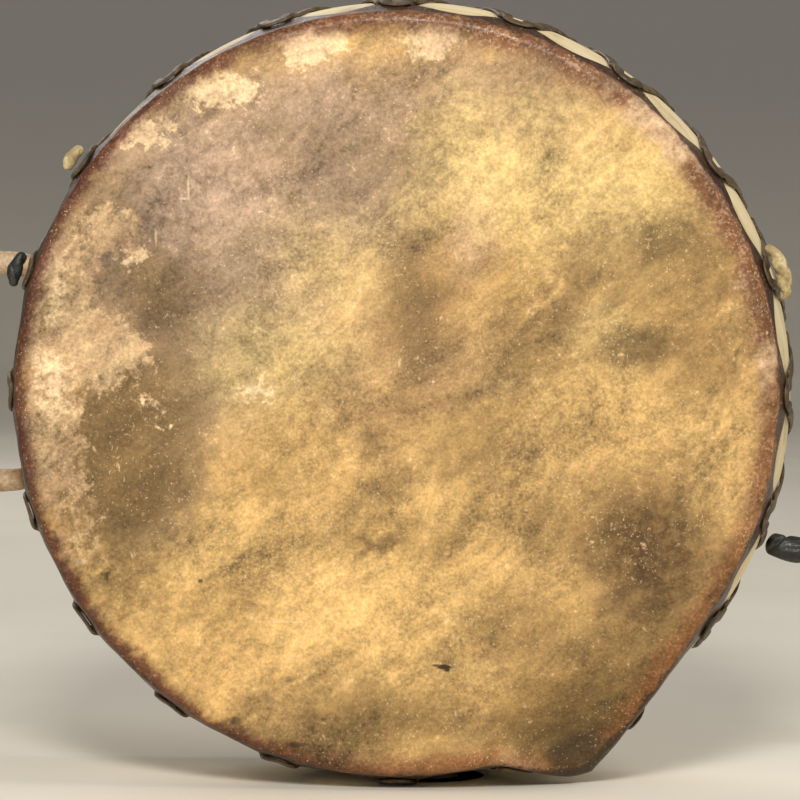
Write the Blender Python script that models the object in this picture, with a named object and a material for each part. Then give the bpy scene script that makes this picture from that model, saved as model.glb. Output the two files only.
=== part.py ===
# Two-headed ritual drum standing upright on its rim.
# Metres, +Z up. The drum's axis runs along Y and the played head faces -Y.
# The origin is on the pressed underside of the lacing, where the drum meets the ground.

import bpy
import math

# Driving dimensions of the shell
SHELL_END_RADIUS = 0.1890
SHELL_BULGE = 0.0090
SHELL_WALL = 0.0070
SHELL_CHAMFER = 0.0045
DRUM_DEPTH = 0.1150

# The two heads and their skirts, measured back from each rim
HIDE_THICKNESS = 0.0022
RIM_ROUNDING = 0.0060
SKIRT_SHORT = 0.0085
SKIRT_LONG = 0.0200
FIT_GAP = 0.0003

# Lacing that zigzags between the two skirts
LACE_COUNT = 20
LACE_WIDTH = 0.0070
LACE_THICKNESS = 0.0025
LACE_INSET = 0.0145
LACE_TURN_HALF = 0.0052
LACE_RAMP = 0.0100
FOOT_PRESS = 0.0018

# Folded corner of the played head, low on the right, in degrees round the rim
FOLD_START_DEG = -76.0
FOLD_PEAK_DEG = -62.0
FOLD_END_DEG = -40.0
FOLD_SET_BACK = 0.0280
FOLD_OUTREACH = 0.0160
FOLD_INNER_RADIUS = 0.1560
FOLD_CLEARANCE = 0.0050
FOLD_EDGE_CLEARANCE = 0.0030

# Carrying handle on the left and the thong knotted beside its upper end
HANDLE_RADIUS = 0.0065
HANDLE_TOP_DEG = 162.0
HANDLE_LOW_DEG = 193.5
HANDLE_REACH = 0.0480
HANDLE_SQUARENESS = 0.62
HANDLE_SPREAD_DEG = 3.0
HANDLE_TOP_LIFT = 0.0018
HANDLE_KNOT_DEG = 162.0
HANDLE_KNOT_RADIUS = 0.0040
HANDLE_KNOT_LENGTH = 0.0180

# Dark tie on the right and pale end knots of the lacing
TIE_DEG = -22.5
TIE_RADIUS = 0.0064
TIE_REACH = 0.0300
TIE_LEAN = 0.035
TIE_END_SHARE = 0.86
TIE_MIDDLE_SHARE = 1.08
KNOT_CLEARANCE = 0.0009
KNOT_RAMP = 0.0050
RIGHT_KNOT_DEG = 18.0
RIGHT_KNOT_LENGTH = 0.0280
RIGHT_KNOT_RADIUS = 0.0042
LEFT_KNOT_DEG = 144.0
LEFT_KNOT_LENGTH = 0.0140
LEFT_KNOT_RADIUS = 0.0036
TOP_KNOT_DEG = 90.0
TOP_KNOT_LENGTH = 0.0100
TOP_KNOT_RADIUS = 0.0032
KNOT_END_SHARE = 0.55

# Shares that round the lacing's turns
TURN_EDGE = 0.35
TURN_CORNER = 0.85
TURN_CORNER_DROP = 0.012
TURN_LEG = 1.08
TURN_LEG_DROP = 0.05

# Shares of the thong's width: where a leg starts down off a skirt, and how far a knot rides over a turn
SKIRT_END_SHARE = 0.25
TURN_COVER_SHARE = 0.75

# How steeply the face falls away across the folded corner
FOLD_STEEPNESS = 1.5

# Facets
HANDLE_STEPS = 16
KNOT_STEPS = 8
TIE_STEPS = 6
RIM_STEPS = 80
FRONT_FACE_RINGS = (0.45, 0.83, 0.90, 0.95, 1.0)
BACK_FACE_RINGS = (0.55, 1.0)
SKIRT_STEPS = 4
SHELL_STEPS = 5
ROUNDING_STEPS = 2
LEG_STEPS = 5
BAR_SIDES = 3
KNOT_SIDES = 2
SHARP_EDGE_DEG = 40.0

END_COVER = HIDE_THICKNESS + FIT_GAP
SHELL_HALF = DRUM_DEPTH / 2 - END_COVER
HALF_PITCH = math.pi / LACE_COUNT
LACE_CROWN = SHELL_END_RADIUS + SHELL_BULGE + FIT_GAP + LACE_THICKNESS
AXIS_Z = LACE_CROWN - FOOT_PRESS
AXIS_X = -LACE_CROWN * math.sin(HALF_PITCH / 2)
BOTTOM = -math.pi / 2
FRONT = -1
BACK = 1


def smooth(share):
    """Ease from 0 to 1."""
    share = min(max(share, 0.0), 1.0)
    return share * share * (3 - 2 * share)


def place(radius, angle, y):
    """Point at a radius and an angle round the drum's axis."""
    return (AXIS_X + radius * math.cos(angle), y, AXIS_Z + radius * math.sin(angle))


def shell_radius(y):
    """Outer radius of the barrel-shaped shell."""
    return SHELL_END_RADIUS + SHELL_BULGE * (1 - min(abs(y) / SHELL_HALF, 1.0) ** 2)


def fold(angle, side):
    """Share of the played head's folded corner: a sharp start and a slow end."""
    if side == BACK:
        return 0.0
    degrees = (math.degrees(angle) + 180) % 360 - 180
    rise = smooth((degrees - FOLD_START_DEG) / (FOLD_PEAK_DEG - FOLD_START_DEG))
    fall = 1 - smooth((degrees - FOLD_PEAK_DEG) / (FOLD_END_DEG - FOLD_PEAK_DEG))
    return rise * fall


def rim_depth(angle, side):
    """How far the rim lies behind its head's plane."""
    return FOLD_SET_BACK * fold(angle, side)


def face_depth(radius, angle, side):
    """Depth of a head's face: flat, and sloping back across the folded corner."""
    rim = SHELL_END_RADIUS + END_COVER - RIM_ROUNDING + FOLD_OUTREACH * fold(angle, side)
    share = (radius - FOLD_INNER_RADIUS) / (rim - FOLD_INNER_RADIUS)
    return rim_depth(angle, side) * min(max(share, 0.0), 1.0) ** FOLD_STEEPNESS


def scallop(angle, side):
    """1 where a lace pulls the skirt, 0 halfway to the next lace."""
    apex = BOTTOM if side == FRONT else BOTTOM + HALF_PITCH
    return 0.5 + 0.5 * math.cos((angle - apex) * LACE_COUNT)


def skirt_depth(angle, side):
    """Depth where the skirt ends."""
    return rim_depth(angle, side) + SKIRT_SHORT + (SKIRT_LONG - SKIRT_SHORT) * scallop(angle, side)


def fold_swell(depth, angle, side):
    """How far the folded corner holds the skirt off the shell."""
    past_rim = (depth - rim_depth(angle, side) - RIM_ROUNDING) / (SKIRT_LONG - RIM_ROUNDING)
    return FOLD_OUTREACH * fold(angle, side) * (1 - smooth(past_rim))


def skirt_radius(depth, angle, side):
    """Inner radius of a skirt at a depth behind its head's plane."""
    return shell_radius(DRUM_DEPTH / 2 - depth) + FIT_GAP + fold_swell(depth, angle, side)


def make_material(name, colour, roughness):
    material = bpy.data.materials.new(name)
    material.use_nodes = True
    shader = material.node_tree.nodes["Principled BSDF"]
    shader.inputs["Base Color"].default_value = (*colour, 1.0)
    shader.inputs["Roughness"].default_value = roughness
    shader.inputs["Metallic"].default_value = 0.0
    return material


def add_mesh(name, points, faces, material):
    mesh = bpy.data.meshes.new(name)
    mesh.from_pydata(points, [], faces)
    mesh.shade_smooth()
    mesh.set_sharp_from_angle(angle=math.radians(SHARP_EDGE_DEG))
    body = bpy.data.objects.new(name, mesh)
    drum.objects.link(body)
    mesh.materials.append(material)
    return body


def bridge(rows, closed):
    """Quads between neighbouring rings of equal length; closed joins the last ring to the first."""
    count = len(rows[0])
    faces = []
    spans = len(rows) if closed else len(rows) - 1
    for row in range(spans):
        here = row * count
        there = (row + 1) % len(rows) * count
        for step in range(count):
            after = (step + 1) % count
            faces.append((here + step, here + after, there + after, there + step))
    return faces


def rim_angles():
    return [BOTTOM + 2 * math.pi * step / RIM_STEPS for step in range(RIM_STEPS)]


def head_profile(angle, side, face_rings):
    """Radius and depth from the face's middle over the rim to the skirt's end, outside then inside."""
    tip = skirt_depth(angle, side)
    start = rim_depth(angle, side) + RIM_ROUNDING
    outer = []
    inner = []
    rim = skirt_radius(start, angle, side) + HIDE_THICKNESS
    flat = rim - RIM_ROUNDING
    for share in face_rings:
        depth = face_depth(flat * share, angle, side)
        outer.append((flat * share, depth))
        inner.append((flat * share, depth + HIDE_THICKNESS))
    for step in range(1, ROUNDING_STEPS):
        turn = math.pi / 2 * step / ROUNDING_STEPS
        for profile, reach in ((outer, RIM_ROUNDING), (inner, RIM_ROUNDING - HIDE_THICKNESS)):
            profile.append((flat + reach * math.sin(turn), start - reach * math.cos(turn)))
    for step in range(SKIRT_STEPS):
        depth = start + (tip - start) * step / (SKIRT_STEPS - 1)
        radius = skirt_radius(depth, angle, side)
        outer.append((radius + HIDE_THICKNESS, depth))
        inner.append((radius, depth))
    return outer, inner


def make_head(name, side, face_rings, material):
    """A hide stretched over the shell's end, with a scalloped skirt down its side."""
    outer_rows = []
    inner_rows = []
    for angle in rim_angles():
        outer, inner = head_profile(angle, side, face_rings)
        plane = side * DRUM_DEPTH / 2
        outer_rows.append([place(radius, angle, plane - side * depth) for radius, depth in outer])
        inner_rows.append([place(radius, angle, plane - side * depth) for radius, depth in inner])
    rings = [list(ring) for ring in zip(*outer_rows)]
    rings += [list(ring) for ring in reversed(list(zip(*inner_rows)))]
    points = [point for ring in rings for point in ring]
    faces = bridge(rings, closed=False)
    first = len(points)
    points.append(place(0.0, 0.0, side * DRUM_DEPTH / 2))
    points.append(place(0.0, 0.0, side * (DRUM_DEPTH / 2 - HIDE_THICKNESS)))
    last_ring = first - RIM_STEPS
    for step in range(RIM_STEPS):
        after = (step + 1) % RIM_STEPS
        faces.append((first, after, step))
        faces.append((first + 1, last_ring + step, last_ring + after))
    if side == FRONT:
        faces = [tuple(reversed(face)) for face in faces]
    return add_mesh(name, points, faces, material)


def shell_profile(angle):
    """Radius and place along Y round the wall's section, from the front edge out and back."""
    front_edge = face_depth(SHELL_END_RADIUS, angle, FRONT) - SHELL_HALF
    front_edge += FOLD_EDGE_CLEARANCE * fold(angle, FRONT)
    inside = SHELL_END_RADIUS - SHELL_WALL
    profile = [(inside, front_edge), (SHELL_END_RADIUS - SHELL_CHAMFER, front_edge)]
    front_side = front_edge + SHELL_CHAMFER
    back_side = SHELL_HALF - SHELL_CHAMFER
    for step in range(SHELL_STEPS + 1):
        y = front_side + (back_side - front_side) * step / SHELL_STEPS
        profile.append((shell_radius(y), y))
    profile.append((SHELL_END_RADIUS - SHELL_CHAMFER, SHELL_HALF))
    profile.append((inside, SHELL_HALF))
    profile.append((shell_radius(0) - SHELL_WALL, 0.0))
    return profile


def make_shell(material):
    """The hollow wooden barrel, open at both ends, its front edge worn down under the fold."""
    columns = []
    for angle in rim_angles():
        columns.append([place(radius, angle, y) for radius, y in shell_profile(angle)])
    rings = list(reversed(list(zip(*columns))))
    points = [point for ring in rings for point in ring]
    return add_mesh("shell", points, bridge(rings, closed=True), material)


def lace_path():
    """Angle and share of the way from front to back along the zigzag, for one whole round."""
    turn = LACE_TURN_HALF / LACE_CROWN
    path = []
    for lace in range(LACE_COUNT):
        start = BOTTOM + 2 * HALF_PITCH * lace
        for apex, near, far in ((start, 0.0, 1.0), (start + HALF_PITCH, 1.0, 0.0)):
            way = far - near
            path.append((apex - turn * TURN_EDGE, near))
            path.append((apex + turn * TURN_EDGE, near))
            path.append((apex + turn * TURN_CORNER, near + way * TURN_CORNER_DROP))
            leg_start = apex + turn * TURN_LEG
            leg_sweep = HALF_PITCH - 2 * turn * TURN_LEG
            for step in range(LEG_STEPS + 1):
                share = step / LEG_STEPS
                along = TURN_LEG_DROP + (1 - 2 * TURN_LEG_DROP) * share
                path.append((leg_start + leg_sweep * share, near + way * along))
            path.append((apex + HALF_PITCH - turn * TURN_CORNER, far - way * TURN_CORNER_DROP))
    return path


def lace_seat(angle, share):
    """Depth along Y and inner radius of the lacing over the skirts and the shell."""
    front = LACE_INSET + rim_depth(angle, FRONT)
    back = DRUM_DEPTH - LACE_INSET
    depth = front + (back - front) * share
    y = depth - DRUM_DEPTH / 2
    radius = shell_radius(y) + FIT_GAP
    for side, own_depth in ((FRONT, depth), (BACK, DRUM_DEPTH - depth)):
        past_skirt = own_depth - rim_depth(angle, side) - SKIRT_LONG - LACE_WIDTH * SKIRT_END_SHARE
        radius += END_COVER * (1 - smooth(past_skirt / LACE_RAMP))
        radius += fold_swell(own_depth, angle, side)
    return y, radius + FOLD_CLEARANCE * fold(angle, FRONT)


def make_lacing(material):
    """One flat thong zigzagging round the drum, pressed flat where the drum stands on it."""
    path = lace_path()
    span = DRUM_DEPTH - 2 * LACE_INSET
    rings = []
    for step, (angle, share) in enumerate(path):
        before = path[step - 1]
        after = path[(step + 1) % len(path)]
        sweep = (after[0] - before[0] + math.pi) % (2 * math.pi) - math.pi
        run = (sweep * LACE_CROWN, (after[1] - before[1]) * span)
        length = math.hypot(*run)
        aside = (-run[1] / length, run[0] / length)
        section = []
        for way, lift in ((-1, 0.0), (-1, LACE_THICKNESS), (1, LACE_THICKNESS), (1, 0.0)):
            edge_angle = angle + way * aside[0] * LACE_WIDTH / 2 / LACE_CROWN
            edge_share = share + way * aside[1] * LACE_WIDTH / 2 / span
            y, radius = lace_seat(edge_angle, edge_share)
            x, y, z = place(radius + lift, edge_angle, y)
            section.append((x, y, max(z, 0.0)))
        rings.append(section)
    points = [point for ring in rings for point in ring]
    return add_mesh("lacing", points, bridge(rings, closed=True), material)


def add_tube(name, route, radius, material, sides):
    """A round bar with filled ends along a smooth route of points."""
    curve = bpy.data.curves.new(name, "CURVE")
    curve.dimensions = "3D"
    curve.bevel_depth = radius
    curve.bevel_resolution = sides
    curve.use_fill_caps = True
    spline = curve.splines.new("POLY")
    spline.points.add(len(route) - 1)
    for point, target in zip(spline.points, route):
        point.co = (*target[:3], 1.0)
        point.radius = target[3] if len(target) > 3 else 1.0
    body = bpy.data.objects.new(name, curve)
    drum.objects.link(body)
    curve.materials.append(material)
    return body


def make_handle(material):
    """A rolled hide loop on the left, its upper end on the shell and its lower on the lacing."""
    top = math.radians(HANDLE_TOP_DEG)
    low = math.radians(HANDLE_LOW_DEG)
    top_foot = SHELL_END_RADIUS + SHELL_BULGE + HANDLE_TOP_LIFT
    low_foot = LACE_CROWN + 2 * FIT_GAP
    route = []
    for step in range(HANDLE_STEPS + 1):
        share = step / HANDLE_STEPS
        foot = top_foot + (low_foot - top_foot) * share
        spread = math.radians(HANDLE_SPREAD_DEG) * math.sin(2 * math.pi * share)
        reach = HANDLE_REACH * max(math.sin(math.pi * share), 0.0) ** HANDLE_SQUARENESS
        route.append(place(foot + reach, top + (low - top) * share - spread, 0.0))
    return add_tube("carrying_handle", route, HANDLE_RADIUS, material, BAR_SIDES)


def make_knot(name, centre_deg, length, radius, material):
    """A short roll, thick in the middle, lying over a front turn of the lacing."""
    y = LACE_INSET - DRUM_DEPTH / 2
    skirt = shell_radius(y) + FIT_GAP + END_COVER
    lace_reach = LACE_TURN_HALF + LACE_WIDTH * TURN_COVER_SHARE
    route = []
    for step in range(KNOT_STEPS + 1):
        share = step / KNOT_STEPS
        along = length / 2 * (2 * share - 1)
        swell = KNOT_END_SHARE + (1 - KNOT_END_SHARE) * math.sin(math.pi * share)
        over_lace = 1 - smooth((abs(along) - lace_reach) / KNOT_RAMP)
        seat = skirt + (LACE_THICKNESS + FIT_GAP) * over_lace + KNOT_CLEARANCE
        angle = math.radians(centre_deg) + along / LACE_CROWN
        route.append((*place(seat + radius * swell, angle, y), swell))
    return add_tube(name, route, radius, material, KNOT_SIDES)


def make_tie(material):
    """A dark rolled leather tie standing out from the lacing on the right."""
    route = []
    for step in range(TIE_STEPS + 1):
        share = step / TIE_STEPS
        angle = math.radians(TIE_DEG) + TIE_LEAN * share ** 2
        swell = TIE_END_SHARE + (TIE_MIDDLE_SHARE - TIE_END_SHARE) * math.sin(math.pi * share)
        route.append((*place(LACE_CROWN + 2 * FIT_GAP + TIE_REACH * share, angle, 0.0), swell))
    return add_tube("dark_tie", route, TIE_RADIUS, material, BAR_SIDES)


for old in list(bpy.data.objects):
    bpy.data.objects.remove(old, do_unlink=True)
drum = bpy.data.collections.new("ritual_drum")
bpy.context.scene.collection.children.link(drum)

pale_wood = make_material("pale_wood", (0.72, 0.62, 0.42), 0.65)
head_hide = make_material("head_hide", (0.52, 0.38, 0.20), 0.55)
lace_hide = make_material("lace_hide", (0.16, 0.10, 0.06), 0.60)
handle_hide = make_material("handle_hide", (0.48, 0.36, 0.24), 0.65)
pale_hide = make_material("pale_hide", (0.66, 0.56, 0.38), 0.60)
dark_leather = make_material("dark_leather", (0.03, 0.035, 0.03), 0.50)

make_shell(pale_wood)
make_head("head_front", FRONT, FRONT_FACE_RINGS, head_hide)
make_head("head_back", BACK, BACK_FACE_RINGS, head_hide)
make_lacing(lace_hide)
make_handle(handle_hide)
make_knot("handle_knot", HANDLE_KNOT_DEG, HANDLE_KNOT_LENGTH, HANDLE_KNOT_RADIUS, dark_leather)
make_tie(dark_leather)
make_knot("end_knot_right", RIGHT_KNOT_DEG, RIGHT_KNOT_LENGTH, RIGHT_KNOT_RADIUS, pale_hide)
make_knot("end_knot_left", LEFT_KNOT_DEG, LEFT_KNOT_LENGTH, LEFT_KNOT_RADIUS, pale_hide)
make_knot("end_knot_top", TOP_KNOT_DEG, TOP_KNOT_LENGTH, TOP_KNOT_RADIUS, pale_hide)
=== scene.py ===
import math

import bpy
import numpy as np
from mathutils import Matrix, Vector


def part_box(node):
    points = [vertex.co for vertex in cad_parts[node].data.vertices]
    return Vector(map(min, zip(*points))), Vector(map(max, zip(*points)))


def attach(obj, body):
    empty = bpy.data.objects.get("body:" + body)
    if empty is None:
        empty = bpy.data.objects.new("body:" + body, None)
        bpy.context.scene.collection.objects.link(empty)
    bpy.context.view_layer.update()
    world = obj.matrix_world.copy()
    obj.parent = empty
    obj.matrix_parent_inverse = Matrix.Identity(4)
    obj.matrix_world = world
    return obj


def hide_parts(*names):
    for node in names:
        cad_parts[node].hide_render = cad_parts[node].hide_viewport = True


# A two-headed rawhide drum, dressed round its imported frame. Metres, +Z up, played head facing -Y.

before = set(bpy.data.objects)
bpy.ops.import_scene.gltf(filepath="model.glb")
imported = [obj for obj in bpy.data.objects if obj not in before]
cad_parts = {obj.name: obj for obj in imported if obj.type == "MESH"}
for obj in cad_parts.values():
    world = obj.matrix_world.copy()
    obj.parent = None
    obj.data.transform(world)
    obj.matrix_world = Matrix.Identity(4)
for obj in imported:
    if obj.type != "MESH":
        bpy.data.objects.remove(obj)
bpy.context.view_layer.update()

backLow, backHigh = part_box("head_back")
frontLow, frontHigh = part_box("head_front")
axisX = (backLow[0] + backHigh[0]) / 2
axisZ = (backLow[2] + backHigh[2]) / 2
frontY = frontLow[1]
drumDepth = backHigh[1] - frontLow[1]
bottomAngle = -math.pi / 2

# What a user would change, one dictionary for each piece
shellValues = {
    "endRadius": 0.1890, "bulge": 0.0090, "wall": 0.0070, "chamfer": 0.0045,
    "around": 480, "alongSide": 40, "ripple": 0.00018,
}
hideValues = {
    "thickness": 0.0022, "rounding": 0.0060, "gap": 0.0003,
    "skirtShort": 0.0085, "skirtLong": 0.0200,
    "around": 800, "faceRings": 44, "roundRings": 9, "skirtRings": 14,
    "sag": 0.0009, "ripple": 0.0005, "rimLumps": 0.0007, "seed": 11,
}
foldValues = {
    "startDeg": -76.0, "peakDeg": -63.0, "endDeg": -34.0,
    "setBack": 0.0280, "outreach": 0.0175, "innerRadius": 0.1560, "steepness": 1.5,
    "clearance": 0.0050, "edgeClearance": 0.0030, "fallPower": 2.0,
    "heldShare": 0.15, "freeShare": 0.55,
}
laceValues = {
    "count": 20, "width": 0.0070, "thickness": 0.0025, "inset": 0.0145, "turnHalf": 0.0052,
    "ramp": 0.0100, "legSteps": 26, "sectionSteps": 14, "squareness": 0.55, "widthWander": 0.22,
}
handleValues = {
    "radius": 0.0065, "topDeg": 162.0, "lowDeg": 193.5, "reach": 0.0480, "squareness": 0.62, "spreadDeg": 3.0,
    "topLift": 0.0018,
    "steps": 300, "sectionSteps": 40, "wraps": 30, "wrapDepth": 0.10,
}
tieValues = {
    "radius": 0.0064, "deg": -22.5, "reach": 0.0300, "lean": 0.035, "endShare": 0.86, "middleShare": 1.08,
    "steps": 120, "sectionSteps": 48,
}
knotValues = {
    "clearance": 0.0009, "ramp": 0.0050, "steps": 90, "sectionSteps": 32, "endShare": 0.55, "twists": 3.0, "strandDepth": 0.16,
}

halfPitch = math.pi / laceValues["count"]
endCover = hideValues["thickness"] + hideValues["gap"]
shellHalf = drumDepth / 2 - endCover
laceCrown = shellValues["endRadius"] + shellValues["bulge"] + hideValues["gap"] + laceValues["thickness"]


def smooth(share):
    # 3s^2 - 2s^3 on a share held between 0 and 1
    share = np.clip(share, 0.0, 1.0)
    return share * share * (3 - 2 * share)


def place(radius, angle, y):
    # polar place round the drum's axis, stacked as x, y, z
    x = axisX + radius * np.cos(angle)
    z = axisZ + radius * np.sin(angle)
    return np.stack([x, np.broadcast_to(y, x.shape), z], axis=-1)


def wander(points, size, seed, waves=14):
    # sum of sines in random directions, scaled to about -1..1; size is the length of the shortest wave in metres
    draw = np.random.default_rng(seed)
    total = np.zeros(points.shape[:-1])
    for wave in range(waves):
        way = draw.normal(size=3)
        way /= np.linalg.norm(way)
        stretch = 2 * math.pi / (size * draw.uniform(1.0, 3.2))
        total += np.sin(points @ way * stretch + draw.uniform(0, 2 * math.pi))
    return total / math.sqrt(waves)


def shellRadius(y):
    # end radius plus a parabola that is highest at mid depth
    share = np.minimum(np.abs(y) / shellHalf, 1.0)
    return shellValues["endRadius"] + shellValues["bulge"] * (1 - share ** 2)


def fold(angle, played):
    # share of the folded corner: quick rise from its start to its peak, slow fall to its end
    if not played:
        return np.zeros_like(angle)
    degrees = (np.degrees(angle) + 180) % 360 - 180
    rise = smooth((degrees - foldValues["startDeg"]) / (foldValues["peakDeg"] - foldValues["startDeg"]))
    pastPeak = np.clip((degrees - foldValues["peakDeg"]) / (foldValues["endDeg"] - foldValues["peakDeg"]), 0, 1)
    fall = (1 - pastPeak) ** foldValues["fallPower"]
    return rise * fall


def rimDepth(angle, played):
    return foldValues["setBack"] * fold(angle, played)


def faceDepth(radius, angle, played):
    # zero inside the fold's inner radius, then a power curve down to the rim's set back
    rim = shellValues["endRadius"] + endCover - hideValues["rounding"]
    rim = rim + foldValues["outreach"] * fold(angle, played)
    share = (radius - foldValues["innerRadius"]) / (rim - foldValues["innerRadius"])
    return rimDepth(angle, played) * np.clip(share, 0.0, 1.0) ** foldValues["steepness"]


def foldSwell(depth, angle, played):
    # how far the folded corner holds the skirt off the shell, easing to nothing at the skirt's end
    pastRim = (depth - rimDepth(angle, played) - hideValues["rounding"])
    pastRim = pastRim / (hideValues["skirtLong"] - hideValues["rounding"])
    return foldValues["outreach"] * fold(angle, played) * (1 - smooth(pastRim))


def skirtRadius(depth, angle, played):
    # inner side of the skirt: the shell's curve, the gap and the fold's swell
    return shellRadius(drumDepth / 2 - depth) + hideValues["gap"] + foldSwell(depth, angle, played)


def skirtDepth(angle, played):
    # scalloped end: cosine with one peak at each lace
    apex = bottomAngle if played else bottomAngle + halfPitch
    pull = 0.5 + 0.5 * np.cos((angle - apex) * laceValues["count"])
    reach = hideValues["skirtLong"] - hideValues["skirtShort"]
    return rimDepth(angle, played) + hideValues["skirtShort"] + reach * pull


def buildMesh(name, points, loopFaces):
    mesh = bpy.data.meshes.new(name)
    mesh.vertices.add(len(points))
    mesh.vertices.foreach_set("co", points.astype(np.float32).ravel())
    mesh.loops.add(loopFaces.size)
    mesh.loops.foreach_set("vertex_index", loopFaces.astype(np.int32).ravel())
    mesh.polygons.add(len(loopFaces))
    starts = np.arange(len(loopFaces)) * loopFaces.shape[1]
    mesh.polygons.foreach_set("loop_start", starts.astype(np.int32))
    mesh.update(calc_edges=True)
    mesh.validate()
    mesh.shade_smooth()
    piece = bpy.data.objects.new(name, mesh)
    bpy.context.scene.collection.objects.link(piece)
    return piece


def gridFaces(rows, columns, closeRows, closeColumns):
    # quads between grid neighbours, wrapping round where a direction is closed
    rowIndex = np.arange(rows if closeRows else rows - 1)
    columnIndex = np.arange(columns if closeColumns else columns - 1)
    row, column = np.meshgrid(rowIndex, columnIndex, indexing="ij")
    below = (row + 1) % rows
    aside = (column + 1) % columns
    corners = [row * columns + column, row * columns + aside, below * columns + aside, below * columns + column]
    return np.stack(corners, axis=-1).reshape(-1, 4)


def capFans(middle, ring, flip):
    # triangles from one middle point to a ring, written as quads' three corners
    after = np.roll(ring, -1)
    middles = np.full_like(ring, middle)
    order = [middles, after, ring] if flip else [middles, ring, after]
    return np.stack(order, axis=-1)


def finishPiece(piece, slot, material, *nodes):
    bpy.context.view_layer.objects.active = piece
    piece.data.materials.append(material)
    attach(piece, "root")
    if nodes:
        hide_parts(*nodes)
    return piece


def joinFaces(name, points, quads, triangles, hidePlace=None):
    # one mesh from quads and triangles together; hidePlace, where given, becomes its UV map
    mesh = bpy.data.meshes.new(name)
    mesh.vertices.add(len(points))
    mesh.vertices.foreach_set("co", points.astype(np.float32).ravel())
    loops = np.concatenate([quads.ravel(), triangles.ravel()])
    starts = np.concatenate([np.arange(len(quads)) * 4, len(quads) * 4 + np.arange(len(triangles)) * 3])
    mesh.loops.add(len(loops))
    mesh.loops.foreach_set("vertex_index", loops.astype(np.int32))
    mesh.polygons.add(len(starts))
    mesh.polygons.foreach_set("loop_start", starts.astype(np.int32))
    mesh.update(calc_edges=True)
    if hidePlace is not None:
        layer = mesh.uv_layers.new(name="hidePlace")
        layer.data.foreach_set("uv", hidePlace[loops].astype(np.float32).ravel())
    mesh.shade_smooth()
    piece = bpy.data.objects.new(name, mesh)
    bpy.context.scene.collection.objects.link(piece)
    return piece


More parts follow.
